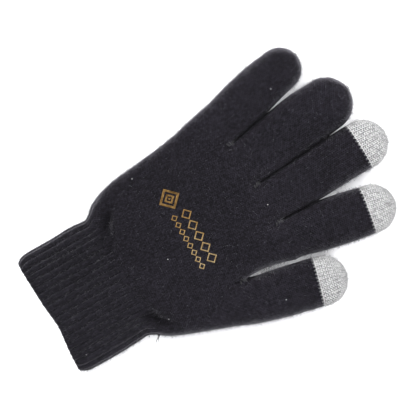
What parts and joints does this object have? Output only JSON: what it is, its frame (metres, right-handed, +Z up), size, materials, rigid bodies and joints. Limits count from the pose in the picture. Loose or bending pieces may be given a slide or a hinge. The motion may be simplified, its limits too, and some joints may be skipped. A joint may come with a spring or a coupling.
{
  "type": "touchscreen glove",
  "caption": "Knitted winter glove lying flat, with a ribbed cuff, separate finger and thumb stalls that bend, and pale conductive tips for touchscreens.",
  "frame": {"origin": "middle of the glove's bounding box in plan, on the surface that it lies on", "axes": "+Y from the cuff to the fingertips, +X towards the thumb's side, +Z up through the back of the hand"},
  "size_m": [0.1406, 0.215, 0.0112],
  "materials": {
    "black_knit": "fuzzy acrylic jersey knit",
    "conductive_knit": "pale jersey knit with conductive yarn",
    "gold_foil": "pressed metallic foil print",
    "elastic_thread": "covered elastic thread"
  },
  "bodies": {
    "hand": {"hand_lower": "black_knit", "hand_upper": "black_knit", "little_ring_crotch": "black_knit", "ring_middle_crotch": "black_knit", "middle_index_crotch": "black_knit", "thumb_crotch_stitch": "black_knit", "emblem_badge": "gold_foil", "emblem_band_upper": "gold_foil", "emblem_band_lower": "gold_foil", "yarn_tail": "black_knit"},
    "cuff": {"cuff_rib": "black_knit", "cuff_welt": "black_knit", "cuff_elastic": "elastic_thread"},
    "little_lower": {"little_stall_lower": "black_knit"},
    "little_upper": {"little_stall_upper": "black_knit"},
    "ring_lower": {"ring_stall_lower": "black_knit"},
    "ring_upper": {"ring_stall_upper": "black_knit"},
    "middle_lower": {"middle_stall_lower": "black_knit"},
    "middle_upper": {"middle_stall_upper": "black_knit", "middle_touch_tip": "conductive_knit"},
    "index_lower": {"index_stall_lower": "black_knit"},
    "index_upper": {"index_stall_upper": "black_knit", "index_touch_tip": "conductive_knit"},
    "thumb_lower": {"thumb_stall_lower": "black_knit"},
    "thumb_upper": {"thumb_stall_upper": "black_knit", "thumb_touch_tip": "conductive_knit"}
  },
  "joints": [
    {"name": "wrist", "type": "hinge", "parent": "hand", "child": "cuff", "pos_m": [-0.00249, -0.0615, 0.0055], "axis": [1, 0, 0], "range_deg": [-45, 45]},
    {"name": "little_knuckle", "type": "hinge", "parent": "hand", "child": "little_lower", "pos_m": [-0.04826, 0.03038, 0.0055], "axis": [-0.9763, -0.2164, 0], "range_deg": [-20, 85]},
    {"name": "little_middle_joint", "type": "hinge", "parent": "little_lower", "child": "little_upper", "pos_m": [-0.05343, 0.05368, 0.0055], "axis": [-1, 0, 0], "range_deg": [0, 90]},
    {"name": "ring_knuckle", "type": "hinge", "parent": "hand", "child": "ring_lower", "pos_m": [-0.02231, 0.03154, 0.0055], "axis": [-0.994, -0.1097, 0], "range_deg": [-20, 85]},
    {"name": "ring_middle_joint", "type": "hinge", "parent": "ring_lower", "child": "ring_upper", "pos_m": [-0.02552, 0.06064, 0.0055], "axis": [-1, 0, 0], "range_deg": [0, 90]},
    {"name": "middle_knuckle", "type": "hinge", "parent": "hand", "child": "middle_lower", "pos_m": [0.00341, 0.033, 0.0055], "axis": [-1, 0, 0], "range_deg": [-20, 85]},
    {"name": "middle_middle_joint", "type": "hinge", "parent": "middle_lower", "child": "middle_upper", "pos_m": [0.00341, 0.06355, 0.0055], "axis": [-1, 0, 0], "range_deg": [0, 90]},
    {"name": "index_knuckle", "type": "hinge", "parent": "hand", "child": "index_lower", "pos_m": [0.02824, 0.03094, 0.0055], "axis": [-0.9863, 0.165, 0], "range_deg": [-20, 85]},
    {"name": "index_middle_joint", "type": "hinge", "parent": "index_lower", "child": "index_upper", "pos_m": [0.0325, 0.05641, 0.0055], "axis": [-1, 0, 0], "range_deg": [0, 90]},
    {"name": "thumb_root", "type": "hinge", "parent": "hand", "child": "thumb_lower", "pos_m": [0.04647, -0.00386, 0.0055], "axis": [-0.9659, 0.2588, 0], "range_deg": [-20, 55]},
    {"name": "thumb_middle_joint", "type": "hinge", "parent": "thumb_lower", "child": "thumb_upper", "pos_m": [0.05231, 0.01792, 0.0055], "axis": [-1, 0, 0], "range_deg": [0, 90]}
  ]
}
